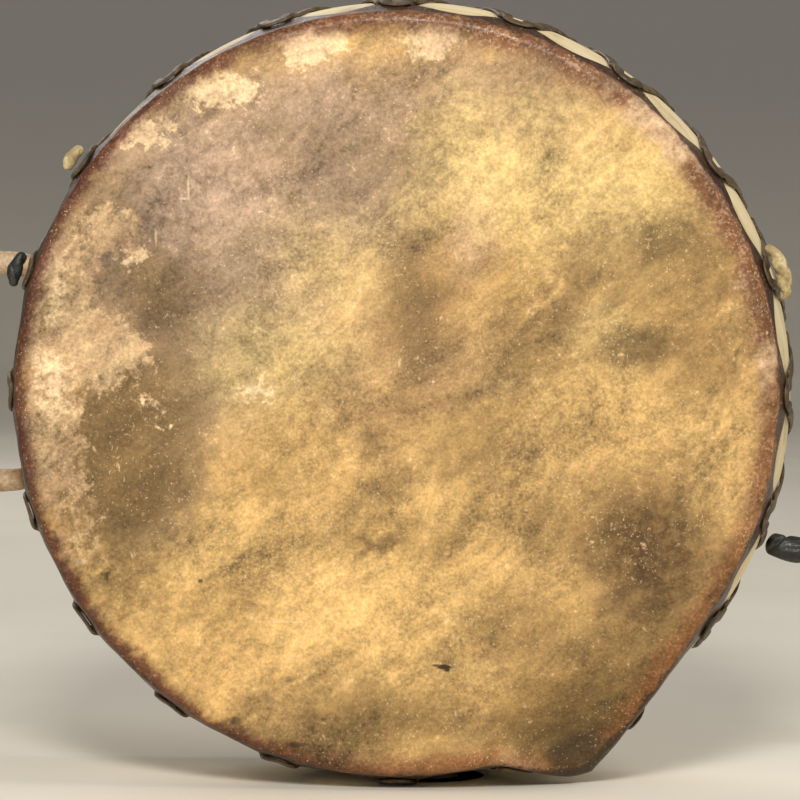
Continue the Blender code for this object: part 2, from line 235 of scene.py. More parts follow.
def makeHead(name, node, played, material):
    # face, rounding and skirt as rings (row) round the axis (column), outside first and then back along the inside
    values = hideValues
    angle = bottomAngle + np.linspace(0, 2 * math.pi, values["around"], endpoint=False)
    start = rimDepth(angle, played) + values["rounding"]
    flat = skirtRadius(start, angle, played) + values["thickness"] - values["rounding"]
    tip = skirtDepth(angle, played)
    outer = []
    inner = []
    faceShares = np.linspace(0.02, 1.0, values["faceRings"]) ** 0.8
    for share in faceShares:
        depth = faceDepth(flat * share, angle, played)
        outer.append((flat * share, depth))
        inner.append((flat * share, depth + values["thickness"]))
    for step in range(1, values["roundRings"]):
        turn = math.pi / 2 * step / values["roundRings"]
        innerReach = values["rounding"] - values["thickness"]
        outer.append((flat + values["rounding"] * math.sin(turn), start - values["rounding"] * math.cos(turn)))
        inner.append((flat + innerReach * math.sin(turn), start - innerReach * math.cos(turn)))
    for step in range(values["skirtRings"]):
        depth = start + (tip - start) * step / (values["skirtRings"] - 1)
        radius = skirtRadius(depth, angle, played)
        outer.append((radius + values["thickness"], depth))
        inner.append((radius, depth))
    outerRadius = np.array([row[0] for row in outer])
    outerDepth = np.array([row[1] for row in outer])
    innerRadius = np.array([row[0] for row in inner])
    innerDepth = np.array([row[1] for row in inner])

    # relief on the outside only: a shallow sag, soft ripples and lumps near the rim, all pressed inwards
    flatPlace = place(outerRadius, np.broadcast_to(angle, outerRadius.shape), 0.0)
    flatPlace[..., 1] = outerDepth
    share = outerRadius / flat
    ripple = 0.5 + 0.5 * np.clip(wander(flatPlace, 0.035, values["seed"]), -1, 1)
    lumps = 0.5 + 0.5 * np.clip(wander(flatPlace, 0.008, values["seed"] + 1), -1, 1)
    nearRim = np.exp(-((share - 1.0) / 0.06) ** 2)
    inFace = (np.arange(len(outerRadius)) < len(faceShares))[:, None]
    press = values["ripple"] * ripple * (1 - 0.7 * nearRim) + values["rimLumps"] * lumps * nearRim * 0.6
    press = press + values["sag"] * (1 - np.clip(share, 0, 1) ** 2)
    outerDepth = outerDepth + np.where(inFace, press, press * nearRim * 0.6)
    outerRadius = outerRadius - np.where(inFace, 0.0, values["rimLumps"] * lumps * 0.45)

    side = -1 if played else 1
    plane = side * drumDepth / 2
    middleY = frontY + drumDepth / 2
    spread = np.broadcast_to(angle, outerRadius.shape)
    outside = place(outerRadius, spread, middleY + plane - side * outerDepth)
    inside = place(innerRadius, spread, middleY + plane - side * innerDepth)
    keep = np.r_[np.arange(0, len(faceShares), 6), np.arange(len(faceShares), len(innerRadius), 2), len(innerRadius) - 1]
    keep = np.unique(keep)[::-1]
    inside = inside[keep]
    rings = np.concatenate([outside, inside])
    # place on the hide: turn round the axis, and the way from the middle along the hide, 1 at the rim
    steps = np.hypot(np.diff(outerRadius, axis=0), np.diff(outerDepth, axis=0)) / flat
    way = np.concatenate([share[:1], share[:1] + np.cumsum(steps, axis=0)])
    way = np.where(inFace, share, way)
    turnShare = np.broadcast_to((angle / (2 * math.pi)) % 1.0, way.shape)
    hidePlace = np.stack([turnShare, way], axis=-1)
    hidePlace = np.concatenate([hidePlace, hidePlace[keep]]).reshape(-1, 2)
    hidePlace = np.concatenate([hidePlace, np.zeros((2, 2))])
    rows, columns = rings.shape[:2]
    quads = gridFaces(rows, columns, False, True)
    centreDepth = values["sag"] + values["ripple"] * 0.5
    outerMiddle = place(np.array(0.0), np.array(0.0), middleY + plane - side * centreDepth)
    innerMiddle = place(np.array(0.0), np.array(0.0), middleY + plane - side * values["thickness"])
    points = np.concatenate([rings.reshape(-1, 3), outerMiddle[None], innerMiddle[None]])
    firstRing = np.arange(columns)
    lastRing = firstRing + (rows - 1) * columns
    fans = np.concatenate([capFans(rows * columns, firstRing, True), capFans(rows * columns + 1, lastRing, False)])
    if played:
        quads = quads[:, ::-1]
        fans = fans[:, ::-1]
    return finishPiece(joinFaces(name, points, quads, fans, hidePlace), "head_hide", material, node)


def makeShell(material):
    # the wall's section carried round the axis: outside, back edge, inside and front edge
    values = shellValues
    angle = bottomAngle + np.linspace(0, 2 * math.pi, values["around"], endpoint=False)
    frontEdge = faceDepth(np.full_like(angle, values["endRadius"]), angle, True) - shellHalf
    inside = values["endRadius"] - values["wall"]
    corner = values["endRadius"] - values["chamfer"]
    frontEdge = frontEdge + foldValues["edgeClearance"] * fold(angle, True)
    frontSide = frontEdge + values["chamfer"]
    backSide = shellHalf - values["chamfer"]
    section = [(np.full_like(angle, inside), frontEdge), (np.full_like(angle, corner), frontEdge)]
    for step in range(values["alongSide"]):
        y = frontSide + (backSide - frontSide) * step / (values["alongSide"] - 1)
        spot = place(shellRadius(y), angle, y)
        section.append((shellRadius(y) - values["ripple"] * (1 + wander(spot, 0.03, 5)) / 2, y))
    section.append((np.full_like(angle, corner), np.full_like(angle, shellHalf)))
    section.append((np.full_like(angle, inside), np.full_like(angle, shellHalf)))
    section.append((np.full_like(angle, shellRadius(0.0) - values["wall"]), np.zeros_like(angle)))
    middleY = frontY + drumDepth / 2
    rings = np.array([place(radius, angle, middleY + y) for radius, y in section])[::-1]
    quads = gridFaces(rings.shape[0], rings.shape[1], True, True)
    return finishPiece(buildMesh("shellBarrel", rings.reshape(-1, 3), quads), "shell_wood", material, "shell")


def laceSeat(angle, share):
    # depth along Y and inner radius of the thong: on the skirt near each rim, down on the shell between
    front = laceValues["inset"] + rimDepth(angle, True)
    back = drumDepth - laceValues["inset"]
    depth = front + (back - front) * share
    y = depth - drumDepth / 2
    radius = shellRadius(y) + hideValues["gap"]
    for played, ownDepth in ((True, depth), (False, drumDepth - depth)):
        pastSkirt = ownDepth - rimDepth(angle, played) - hideValues["skirtLong"] - laceValues["width"] / 4
        radius = radius + endCover * (1 - smooth(pastSkirt / laceValues["ramp"]))
        radius = radius + foldSwell(ownDepth, angle, played)
    # the fold's clearance eases to nothing well before the second head's skirt
    held = 1 - smooth((share - foldValues["heldShare"]) / (foldValues["freeShare"] - foldValues["heldShare"]))
    return y, radius + foldValues["clearance"] * fold(angle, True) * held


def lacePath():
    # zigzag of angle and front-to-back share: a short turn with round corners, then a straight leg
    turn = laceValues["turnHalf"] / laceCrown
    corner = np.linspace(0, math.pi / 2, 7)
    span = drumDepth - 2 * laceValues["inset"]
    drop = laceValues["turnHalf"] * 0.9 / span
    angles = []
    shares = []
    for leg in range(2 * laceValues["count"]):
        apex = bottomAngle + halfPitch * leg
        legStart = apex + turn * 1.05
        legEnd = apex + halfPitch - turn * 1.05
        along = np.linspace(0, 1, laceValues["legSteps"])
        legAngle = legStart + (legEnd - legStart) * along
        legShare = drop + (1 - 2 * drop) * along
        firstAngle = apex + turn * 0.25 + turn * 0.8 * np.sin(corner[:-1])
        firstShare = drop * (1 - np.cos(corner[:-1]))
        lastAngle = apex + halfPitch - (turn * 0.25 + turn * 0.8 * np.sin(corner[:-1][::-1]))
        lastShare = 1 - drop * (1 - np.cos(corner[:-1][::-1]))
        share = np.concatenate([firstShare, legShare, lastShare])
        angles.append(np.concatenate([firstAngle, legAngle, lastAngle]))
        shares.append(share if leg % 2 == 0 else 1 - share)
    return np.concatenate(angles), np.concatenate(shares)


def makeLacing(material):
    # rounded flat section (superellipse) carried along the zigzag, pressed flat at the drum's foot
    values = laceValues
    angle, share = lacePath()
    span = drumDepth - 2 * values["inset"]
    sweep = (np.roll(angle, -1) - np.roll(angle, 1) + math.pi) % (2 * math.pi) - math.pi
    run = np.stack([sweep * laceCrown, (np.roll(share, -1) - np.roll(share, 1)) * span], axis=-1)
    run /= np.linalg.norm(run, axis=-1, keepdims=True)
    aside = np.stack([-run[:, 1], run[:, 0]], axis=-1)
    turn = np.linspace(0, 2 * math.pi, values["sectionSteps"], endpoint=False)
    across = np.sign(np.cos(turn)) * np.abs(np.cos(turn)) ** values["squareness"]
    above = 0.5 + 0.5 * np.sign(np.sin(turn)) * np.abs(np.sin(turn)) ** values["squareness"]
    spot = np.stack([np.cos(angle) * laceCrown, share * span, np.sin(angle) * laceCrown], axis=-1)
    width = values["width"] / 2 * (1 - values["widthWander"] * (0.5 + 0.5 * np.clip(wander(spot, 0.012, 21), -1, 1)))
    offset = width[:, None] * across[None, :]
    edgeAngle = angle[:, None] + offset * aside[:, 0:1] / laceCrown
    edgeShare = share[:, None] + offset * aside[:, 1:2] / span
    y, radius = laceSeat(edgeAngle, edgeShare)
    thin = values["thickness"] * (0.82 - 0.25 * (0.5 + 0.5 * np.clip(wander(spot, 0.02, 22), -1, 1)))
    points = place(radius + above[None, :] * thin[:, None], edgeAngle, frontY + drumDepth / 2 + y)
    points[..., 2] = np.maximum(points[..., 2], 0.0)
    quads = gridFaces(points.shape[0], points.shape[1], True, True)
    piece = buildMesh("lacingThong", points.reshape(-1, 3), quads)
    return finishPiece(piece, "lace_hide", material, "lacing")


def rollPiece(name, centres, radii, sectionSteps, relief):
    # a round section carried along a path in the XZ plane, its radius scaled by relief(turn, share); ends closed by a point
    along = np.gradient(centres, axis=0)
    along /= np.linalg.norm(along, axis=-1, keepdims=True)
    depthWay = np.array([0.0, 1.0, 0.0])
    sideWay = np.cross(along, depthWay)
    turn = np.linspace(0, 2 * math.pi, sectionSteps, endpoint=False)
    share = np.linspace(0, 1, len(centres))
    scale = radii[:, None] * relief(turn[None, :], share[:, None])
    ring = centres[:, None] + scale[..., None] * (
        np.cos(turn)[None, :, None] * sideWay[:, None] + np.sin(turn)[None, :, None] * depthWay)
    rows, columns = ring.shape[:2]
    points = np.concatenate([ring.reshape(-1, 3), centres[:1], centres[-1:]])
    quads = gridFaces(rows, columns, False, True)
    fans = np.concatenate([
        capFans(rows * columns, np.arange(columns), True),
        capFans(rows * columns + 1, np.arange(columns) + (rows - 1) * columns, False),
    ])
    return joinFaces(name, points, quads, fans)


def roundedEnds(share, reach):
    # quarter circles that close a roll's two ends
    near = np.minimum(share, 1 - share) / reach
    return np.sqrt(np.clip(1 - (1 - np.clip(near, 0, 1)) ** 2, 0.0004, 1))


def makeHandle(material):
    # loop from the upper to the lower foot: reach is a flattened sine, wrapped by a slanting roll line
    values = handleValues
    share = np.linspace(0, 1, values["steps"])
    spread = math.radians(values["spreadDeg"]) * np.sin(2 * math.pi * share)
    angle = math.radians(values["topDeg"]) * (1 - share) + math.radians(values["lowDeg"]) * share - spread
    reach = values["reach"] * np.clip(np.sin(math.pi * share), 0, 1) ** values["squareness"]
    topFoot = shellValues["endRadius"] + shellValues["bulge"] + values["topLift"]
    foot = topFoot + (laceCrown + 2 * hideValues["gap"] - topFoot) * share
    centres = place(foot + reach, angle, np.zeros_like(share))
    radii = values["radius"] * (0.92 + 0.05 * np.sin(9 * math.pi * share + 0.6))

    def relief(turn, along):
        wrap = (along * values["wraps"] + turn / (2 * math.pi)) % 1.0
        step = smooth(wrap / 0.16) * (1 - 0.45 * wrap)
        return 1 - values["wrapDepth"] * (1 - step) + 0.006 * np.sin(3 * turn + 40 * along)

    piece = rollPiece("handleRoll", centres, radii, values["sectionSteps"], relief)
    return finishPiece(piece, "handle_hide", material, "carrying_handle")


def makeTie(material):
    # short stub leaning upwards, rolled from a sheet: one deep spiral groove and lengthwise creases
    values = tieValues
    share = np.linspace(0, 1, values["steps"])
    angle = math.radians(values["deg"]) + values["lean"] * share ** 2
    centres = place(laceCrown + 2 * hideValues["gap"] + values["reach"] * share, angle, np.zeros_like(share))
    swell = values["endShare"] + (values["middleShare"] - values["endShare"]) * np.sin(math.pi * share)
    radii = values["radius"] * swell * roundedEnds(share, 0.12)

    def relief(turn, along):
        groove = np.exp(-(((turn / (2 * math.pi) - along * 1.6) % 1.0 - 0.5) / 0.07) ** 2)
        crease = 0.03 * np.sin(7 * turn + 5 * along) + 0.02 * np.sin(11 * turn - 9 * along)
        return 0.97 - 0.16 * groove - 0.03 + crease

    piece = rollPiece("tieRoll", centres, radii, values["sectionSteps"], relief)
    return finishPiece(piece, "dark_leather", material, "dark_tie")


def makeKnot(name, node, deg, length, radius, slot, material):
    # two strands twisted together: the section is an oval that turns as it goes over a front turn of the lacing
    values = knotValues
    share = np.linspace(0, 1, values["steps"])
    along = length / 2 * (2 * share - 1)
    y = laceValues["inset"] - drumDepth / 2
    swell = values["endShare"] + (1 - values["endShare"]) * np.sin(math.pi * share)
    laceReach = laceValues["turnHalf"] + laceValues["width"] * 0.75
    overLace = 1 - smooth((np.abs(along) - laceReach) / values["ramp"])
    seat = shellRadius(y) + hideValues["gap"] + endCover + values["clearance"]
    seat = seat + (laceValues["thickness"] + hideValues["gap"]) * overLace
    angle = math.radians(deg) + along / laceCrown
    centres = place(seat + radius * swell, angle, np.full_like(share, frontY + drumDepth / 2 + y))
    radii = radius * swell * roundedEnds(share, 0.10)
    twists = values["twists"] * length / 0.03

    def relief(turn, along):
        strand = np.abs(np.cos(turn - math.pi * twists * along))
        return 1 - values["strandDepth"] * 2 * (1 - strand ** 0.6) + 0.02 * np.sin(9 * turn + 20 * along)

    piece = rollPiece(name, centres, radii, values["sectionSteps"], relief)
    return finishPiece(piece, slot, material, node)


# Materials. Places on the hide are metres from the middle of the drum, x to the right and z up

def addNode(tree, kind, **settings):
    node = tree.nodes.new(kind)
    for name, value in settings.items():
        setattr(node, name, value)
    return node


def mathNode(tree, operation, first, second=0.0, third=0.0, clamp=False):
    node = addNode(tree, "ShaderNodeMath", operation=operation, use_clamp=clamp)
    for socket, value in zip(node.inputs, (first, second, third)):
        if isinstance(value, (int, float)):
            socket.default_value = value
        else:
            tree.links.new(value, socket)
    return node.outputs[0]


def mixColour(tree, share, first, second, blend="MIX"):
    node = addNode(tree, "ShaderNodeMix", data_type="RGBA", blend_type=blend)
    for socket, value in ((node.inputs[0], share), (node.inputs[6], first), (node.inputs[7], second)):
        if isinstance(value, (int, float)):
            socket.default_value = value
        elif isinstance(value, tuple):
            socket.default_value = (*value, 1.0)
        else:
            tree.links.new(value, socket)
    return node.outputs[2]


def noiseNode(tree, vector, scale, detail=6.0, roughness=0.6, distortion=0.0):
    node = addNode(tree, "ShaderNodeTexNoise")
    node.inputs["Scale"].default_value = scale
    node.inputs["Detail"].default_value = detail
    node.inputs["Roughness"].default_value = roughness
    node.inputs["Distortion"].default_value = distortion
    tree.links.new(vector, node.inputs["Vector"])
    return node


def rangeNode(tree, value, low, high, toLow=0.0, toHigh=1.0, easing="SMOOTHSTEP"):
    node = addNode(tree, "ShaderNodeMapRange", interpolation_type=easing)
    for socket, number in zip(node.inputs[1:5], (low, high, toLow, toHigh)):
        socket.default_value = number
    tree.links.new(value, node.inputs[0])
    return node.outputs[0]


def newMaterial(name, roughness=0.6, specular=0.5):
    material = bpy.data.materials.new(name)
    material.use_nodes = True
    tree = material.node_tree
    shader = tree.nodes["Principled BSDF"]
    shader.inputs["Roughness"].default_value = roughness
    shader.inputs["Specular IOR Level"].default_value = specular
    coordinates = addNode(tree, "ShaderNodeTexCoord")
    return material, tree, shader, coordinates.outputs["Object"]


def makeGroup(name, inputs, outputs):
    group = bpy.data.node_groups.new(name, "ShaderNodeTree")
    for socketName, kind, value in inputs:
        socket = group.interface.new_socket(socketName, in_out="INPUT", socket_type=kind)
        if value is not None:
            socket.default_value = value
    for socketName, kind in outputs:
        group.interface.new_socket(socketName, in_out="OUTPUT", socket_type=kind)
    return group, group.nodes.new("NodeGroupInput"), group.nodes.new("NodeGroupOutput")


def placeGroup(tree, group, links=(), **values):
    node = addNode(tree, "ShaderNodeGroup")
    node.node_tree = group
    for name, value in values.items():
        node.inputs[name].default_value = value
    for name, source in links:
        tree.links.new(source, node.inputs[name])
    return node


def buildBlotchGroup():
    # soft-edged oval: length of (vector - place) / size, eased from 1 inside to 0 outside
    group, start, end = makeGroup(
        "softBlotch",
        [("Vector", "NodeSocketVector", None), ("Place", "NodeSocketVector", (0, 0, 0)),
         ("Size", "NodeSocketVector", (1, 1, 1)), ("Softness", "NodeSocketFloat", 0.5),
         ("Strength", "NodeSocketFloat", 1.0)],
        [("Mask", "NodeSocketFloat")])
    offset = addNode(group, "ShaderNodeVectorMath", operation="SUBTRACT")
    group.links.new(start.outputs["Vector"], offset.inputs[0])
    group.links.new(start.outputs["Place"], offset.inputs[1])
    scaled = addNode(group, "ShaderNodeVectorMath", operation="DIVIDE")
    group.links.new(offset.outputs[0], scaled.inputs[0])
    group.links.new(start.outputs["Size"], scaled.inputs[1])
    length = addNode(group, "ShaderNodeVectorMath", operation="LENGTH")
    group.links.new(scaled.outputs[0], length.inputs[0])
    inside = mathNode(group, "SUBTRACT", 1.0, start.outputs["Softness"])
    outside = mathNode(group, "ADD", 1.0, start.outputs["Softness"])
    ease = addNode(group, "ShaderNodeMapRange", interpolation_type="SMOOTHSTEP")
    group.links.new(length.outputs["Value"], ease.inputs[0])
    group.links.new(inside, ease.inputs[1])
    group.links.new(outside, ease.inputs[2])
    ease.inputs[3].default_value = 1.0
    ease.inputs[4].default_value = 0.0
    group.links.new(mathNode(group, "MULTIPLY", ease.outputs[0], start.outputs["Strength"]), end.inputs["Mask"])
    return group


def buildWarpGroup():
    # coordinates pushed about by coarse and fine noise, so that ovals get cloudy, feathered edges
    group, start, end = makeGroup(
        "cloudWarp",
        [("Vector", "NodeSocketVector", None), ("Coarse", "NodeSocketFloat", 0.03),
         ("Fine", "NodeSocketFloat", 0.01)],
        [("Vector", "NodeSocketVector")])
    current = start.outputs["Vector"]
    for scale, detail, amount in ((16.0, 5.0, "Coarse"), (90.0, 3.0, "Fine")):
        noise = noiseNode(group, start.outputs["Vector"], scale, detail, 0.72)
        centred = addNode(group, "ShaderNodeVectorMath", operation="SUBTRACT")
        centred.inputs[1].default_value = (0.5, 0.5, 0.5)
        group.links.new(noise.outputs["Color"], centred.inputs[0])
        pushed = addNode(group, "ShaderNodeVectorMath", operation="SCALE")
        group.links.new(centred.outputs[0], pushed.inputs[0])
        group.links.new(start.outputs[amount], pushed.inputs["Scale"])
        summed = addNode(group, "ShaderNodeVectorMath", operation="ADD")
        group.links.new(current, summed.inputs[0])
        group.links.new(pushed.outputs[0], summed.inputs[1])
        current = summed.outputs[0]
    group.links.new(current, end.inputs["Vector"])
    return group


def buildGrainGroup():
    # fibre and pore heights for every hide: short fibres, pores and a slow swell
    group, start, end = makeGroup(
        "hideGrain",
        [("Vector", "NodeSocketVector", None), ("Fibre", "NodeSocketFloat", 0.5), ("Pores", "NodeSocketFloat", 0.5)],
        [("Height", "NodeSocketFloat"), ("Speckle", "NodeSocketFloat")])
    fibre = noiseNode(group, start.outputs["Vector"], 620.0, 2.0, 0.65, 0.8).outputs[0]
    swell = noiseNode(group, start.outputs["Vector"], 90.0, 3.0, 0.6).outputs[0]
    pores = addNode(group, "ShaderNodeTexVoronoi")
    pores.inputs["Scale"].default_value = 430.0
    group.links.new(start.outputs["Vector"], pores.inputs["Vector"])
    poreDip = rangeNode(group, pores.outputs["Distance"], 0.0, 0.35)
    height = mathNode(group, "MULTIPLY_ADD", fibre, start.outputs["Fibre"], swell)
    height = mathNode(group, "MULTIPLY_ADD", poreDip, start.outputs["Pores"], height)
    group.links.new(height, end.inputs["Height"])
    dots = noiseNode(group, start.outputs["Vector"], 820.0, 2.0, 0.5).outputs[0]
    clusters = noiseNode(group, start.outputs["Vector"], 26.0, 3.0, 0.6).outputs[0]
    group.links.new(mathNode(group, "MULTIPLY_ADD", clusters, 0.22, dots), end.inputs["Speckle"])
    return group


print("building shared effects")
blotchGroup = buildBlotchGroup()
warpGroup = buildWarpGroup()
grainGroup = buildGrainGroup()


def addBump(tree, shader, height, strength, distance):
    bump = addNode(tree, "ShaderNodeBump")
    bump.inputs["Strength"].default_value = strength
    bump.inputs["Distance"].default_value = distance
    tree.links.new(height, bump.inputs["Height"])
    tree.links.new(bump.outputs[0], shader.inputs["Normal"])


headLook = {
    "gold": (0.59, 0.365, 0.137), "goldDeep": (0.33, 0.205, 0.080), "goldBright": (0.79, 0.515, 0.195),
    # the pale pink sheen colour below is a painted highlight
    "yellow": (0.70, 0.515, 0.215), "mauve": (0.262, 0.185, 0.124), "paintedSheen": (0.60, 0.41, 0.29),
    "cream": (0.86, 0.63, 0.36), "brown": (0.098, 0.053, 0.018), "olive": (0.250, 0.155, 0.052),
    "pink": (0.58, 0.37, 0.22), "flesh": (0.78, 0.54, 0.33), "tan": (0.66, 0.455, 0.245), "tanDull": (0.47, 0.30, 0.165),
    "rimRed": (0.095, 0.022, 0.013), "rimPink": (0.185, 0.076, 0.038), "rimOrange": (0.24, 0.100, 0.032),
    "rimPale": (0.80, 0.58, 0.36), "rimLine": (0.030, 0.014, 0.008),
    # the darkest spot colour marks dark spots and paints the shade inside a small hole
    "speckle": (0.95, 0.78, 0.50), "darkSpotsAndHoleShade": (0.035, 0.018, 0.008),
    # the fold and edge colours below are painted shade on the folded corner
    "foldShade": (0.150, 0.098, 0.036), "edgeShade": (0.050, 0.036, 0.020),
    "faceRadius": 0.1855, "reach": 0.1948, "bandWide": 0.0160, "bandThin": 0.0120,
}
# each blotch: place x, z, half width, half height, softness, strength
playedBlotches = {
    "goldBright": [(-0.020, -0.105, 0.085, 0.055, 0.8, 0.66), (0.105, -0.005, 0.045, 0.028, 0.8, 0.60),
                   (-0.085, -0.140, 0.040, 0.030, 0.8, 0.30), (-0.090, -0.080, 0.045, 0.035, 0.8, 0.60),
                   (0.060, -0.030, 0.040, 0.020, 0.8, 0.50), 
                   (0.165, -0.040, 0.016, 0.040, 0.8, 0.55), (-0.040, -0.030, 0.035, 0.016, 0.8, 0.45),
                   (0.030, -0.165, 0.030, 0.012, 0.8, 0.30), (-0.135, -0.100, 0.020, 0.035, 0.8, 0.45)],
    "yellow": [(-0.075, 0.014, 0.026, 0.016, 0.8, 0.60), (-0.030, 0.064, 0.030, 0.026, 0.9, 0.60),
               (0.038, 0.120, 0.022, 0.030, 0.8, 0.85), (0.085, 0.105, 0.050, 0.030, 0.8, 0.80),
               (0.120, 0.095, 0.024, 0.034, 0.8, 0.70), (0.015, 0.095, 0.020, 0.016, 0.8, 0.60),
               (-0.030, 0.070, 0.022, 0.020, 0.9, 0.60), (-0.060, 0.020, 0.034, 0.024, 0.9, 0.70),
               (0.110, 0.030, 0.022, 0.014, 0.8, 0.55), (0.075, 0.140, 0.028, 0.012, 0.8, 0.60)],
    "pink": [(0.030, 0.150, 0.070, 0.026, 0.8, 0.55), (0.040, 0.085, 0.012, 0.026, 0.8, 0.75),
             (-0.005, 0.100, 0.030, 0.040, 0.9, 0.40), (0.000, 0.020, 0.040, 0.030, 0.9, 0.35)],
    "mauve": [(-0.010, 0.140, 0.055, 0.024, 0.6, 0.45), (-0.105, 0.070, 0.060, 0.080, 0.45, 0.95), (-0.060, 0.120, 0.085, 0.045, 0.5, 0.80),
              (-0.114, 0.006, 0.034, 0.034, 0.5, 0.90), (-0.125, -0.035, 0.026, 0.040, 0.5, 0.85),
              (0.015, 0.150, 0.060, 0.018, 0.7, 0.50), (-0.075, 0.050, 0.030, 0.030, 0.8, 0.45)],
    # painted highlight: pale pink sheen blotches on the upper left of the face
    "paintedSheen": [(-0.090, 0.105, 0.036, 0.034, 0.9, 0.70), (-0.055, 0.085, 0.040, 0.045, 0.9, 0.45),
             (-0.040, 0.145, 0.040, 0.016, 0.9, 0.50)],
    "olive": [(-0.125, -0.010, 0.026, 0.030, 0.8, 0.85), (-0.118, 0.055, 0.018, 0.020, 0.8, 0.60),
              (0.135, 0.065, 0.034, 0.020, 0.8, 0.75), (0.148, 0.025, 0.026, 0.020, 0.8, 0.70),
              (0.080, 0.016, 0.034, 0.010, 0.8, 0.30), (0.120, -0.045, 0.030, 0.014, 0.8, 0.20),
              (0.085, -0.068, 0.030, 0.014, 0.8, 0.50), (0.040, -0.022, 0.020, 0.016, 0.8, 0.60),
              (0.000, -0.165, 0.040, 0.014, 0.8, 0.80), (0.100, -0.155, 0.045, 0.022, 0.8, 0.80),
              (-0.065, -0.040, 0.016, 0.012, 0.8, 0.45), (0.070, -0.115, 0.030, 0.018, 0.8, 0.60),
              (-0.085, -0.105, 0.020, 0.010, 0.8, 0.35), (0.170, -0.080, 0.020, 0.022, 0.8, 0.40),
              (0.055, 0.060, 0.016, 0.012, 0.8, 0.40), (0.000, -0.073, 0.030, 0.008, 0.9, 0.35),
              (0.105, -0.128, 0.040, 0.022, 0.8, 0.55), (-0.133, -0.038, 0.030, 0.036, 0.6, 0.90),
              (-0.130, -0.090, 0.016, 0.020, 0.8, 0.45)],
    "brown": [(-0.130, -0.036, 0.028, 0.034, 0.8, 0.50), (0.125, -0.076, 0.024, 0.018, 0.7, 0.50),
              (0.010, 0.038, 0.020, 0.034, 0.7, 0.70), (0.127, -0.076, 0.029, 0.030, 0.7, 1.0),
              (-0.006, -0.074, 0.010, 0.005, 0.8, 0.75), (0.122, 0.026, 0.020, 0.009, 0.8, 0.70),
              (0.135, 0.074, 0.014, 0.007, 0.8, 0.55), (-0.122, -0.018, 0.016, 0.024, 0.8, 0.45),
              (-0.120, 0.030, 0.014, 0.018, 0.8, 0.35), (0.070, -0.168, 0.028, 0.010, 0.8, 0.65),
              (-0.150, -0.012, 0.012, 0.010, 0.7, 0.50)],
    "tan": [(-0.168, 0.045, 0.020, 0.055, 0.35, 0.95), (-0.148, 0.022, 0.026, 0.022, 0.4, 0.95),
            (-0.172, -0.015, 0.018, 0.040, 0.5, 0.90), (-0.162, -0.065, 0.012, 0.030, 0.7, 0.55),
            (-0.141, 0.084, 0.015, 0.012, 0.4, 0.90)],
    "cream": [(-0.170, 0.062, 0.010, 0.030, 0.6, 0.60), (-0.172, 0.004, 0.012, 0.022, 0.7, 0.60),
              (-0.094, 0.153, 0.024, 0.011, 0.4, 0.95), (-0.045, 0.174, 0.018, 0.010, 0.4, 0.90),
              (-0.127, 0.129, 0.016, 0.008, 0.4, 0.95),
              (-0.130, 0.070, 0.006, 0.006, 0.4, 0.80), (-0.068, 0.003, 0.008, 0.007, 0.7, 0.50),
              (-0.120, -0.008, 0.006, 0.006, 0.6, 0.60), (0.020, 0.178, 0.018, 0.009, 0.4, 0.85),
              (0.158, 0.110, 0.010, 0.007, 0.6, 0.60), (0.178, 0.060, 0.006, 0.014, 0.6, 0.60)],
    # dark spots; the first three paint the shade inside a small hole in the hide
    "darkSpotsAndHoleShade": [(0.0252, -0.1362, 0.0038, 0.0012, 0.35, 0.95), (0.0268, -0.1372, 0.0015, 0.0014, 0.4, 0.9),
             (0.0215, -0.1355, 0.0022, 0.0006, 0.4, 0.8),
             (-0.0975, -0.0940, 0.0012, 0.0010, 0.5, 0.8), (-0.0355, -0.1630, 0.0016, 0.0008, 0.5, 0.6),
             (-0.0500, -0.1765, 0.0040, 0.0016, 0.6, 0.75), (-0.0800, -0.1645, 0.0030, 0.0020, 0.6, 0.6),
             (-0.1350, -0.1285, 0.0030, 0.0020, 0.6, 0.5)],
    "scratch": [(-0.1030, 0.1040, 0.0005, 0.0060, 0.6, 0.50), (-0.1055, 0.0985, 0.0022, 0.0006, 0.5, 0.5),
                (-0.1195, 0.0790, 0.0006, 0.0040, 0.6, 0.45), (-0.0560, -0.1140, 0.0100, 0.0004, 0.5, 0.45),
                (-0.0700, 0.0030, 0.0045, 0.0020, 0.6, 0.75)],
}
plainBlotches = {
    "goldBright": [(0.0, -0.060, 0.090, 0.060, 0.8, 0.6), (-0.080, 0.060, 0.050, 0.040, 0.8, 0.5)],
    "yellow": [(0.020, 0.020, 0.060, 0.040, 0.9, 0.5)],
    "pink": [(-0.030, 0.130, 0.060, 0.030, 0.8, 0.5)],
    "mauve": [(0.080, 0.080, 0.070, 0.060, 0.6, 0.7), (-0.110, -0.060, 0.030, 0.040, 0.7, 0.5)],
    # painted highlight: a pale pink sheen
    "paintedSheen": [(0.060, 0.090, 0.040, 0.030, 0.9, 0.5)],
    "olive": [(-0.060, -0.030, 0.040, 0.024, 0.8, 0.6), (0.050, -0.130, 0.050, 0.020, 0.8, 0.7)],
    "brown": [(-0.050, -0.040, 0.024, 0.030, 0.8, 0.6), (0.110, -0.030, 0.020, 0.024, 0.8, 0.5)],
    "tan": [(0.150, 0.010, 0.024, 0.050, 0.4, 0.8)],
    "cream": [(-0.100, 0.130, 0.030, 0.014, 0.5, 0.8)],
    "darkSpotsAndHoleShade": [(0.070, 0.020, 0.0016, 0.0010, 0.5, 0.6)],
    "scratch": [(-0.040, 0.080, 0.0006, 0.0080, 0.5, 0.5)],
}


def blotchMask(tree, vector, blotches):
    total = None
    for x, z, halfWidth, halfHeight, softness, strength in blotches:
        node = placeGroup(tree, blotchGroup, [("Vector", vector)], Place=(x, 0, z),
                          Size=(halfWidth, 1.0, halfHeight), Softness=softness, Strength=strength)
        total = node.outputs[0] if total is None else mathNode(tree, "MAXIMUM", total, node.outputs[0])
    return total


